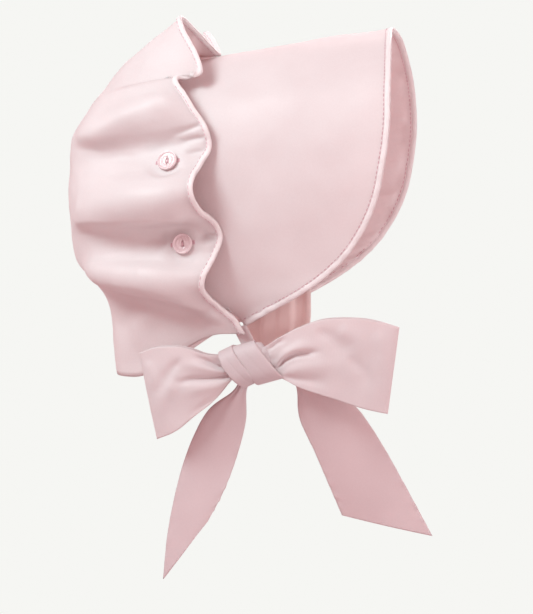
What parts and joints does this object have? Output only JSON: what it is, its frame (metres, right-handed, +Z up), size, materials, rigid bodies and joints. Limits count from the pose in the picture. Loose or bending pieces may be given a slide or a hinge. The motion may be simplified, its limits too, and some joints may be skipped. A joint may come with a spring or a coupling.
{
  "type": "baby sun bonnet",
  "caption": "Pale pink cotton baby sun bonnet with a wide bound brim, a buttoned-on fluted crown with a neck flap, and wide ties in a flat bow; held up as on a head",
  "frame": {"origin": "the head seat: the inside of the brim's top, on the mid-plane, where the top of a head meets it", "axes": "+Z up, the wearer faces -Y, the wearer's right is -X"},
  "size_m": [0.156, 0.2308, 0.3457],
  "materials": {
    "crown_cloth": "plain pale pink cotton poplin",
    "brim_cloth": "plain pale pink cotton poplin, two layers, smooth",
    "tie_cloth": "plain pale pink cotton poplin",
    "bow_cloth": "plain pale pink cotton poplin",
    "binding": "folded cotton binding, paler than the cloth",
    "button": "pearly, satin, moulded with a rim and a lens-shaped well"
  },
  "bodies": {
    "root": {"crown": "crown_cloth", "brim": "brim_cloth", "tie_right": "tie_cloth", "tie_left": "tie_cloth", "bow_loop_back": "bow_cloth", "bow_loop_front": "bow_cloth", "tail_back": "bow_cloth", "tail_front": "bow_cloth", "bow_knot": "bow_cloth", "crown_binding": "binding", "brim_binding": "binding", "button_top": "button", "button_right_1": "button", "button_left_1": "button", "button_right_2": "button", "button_left_2": "button"}
  },
  "joints": []
}
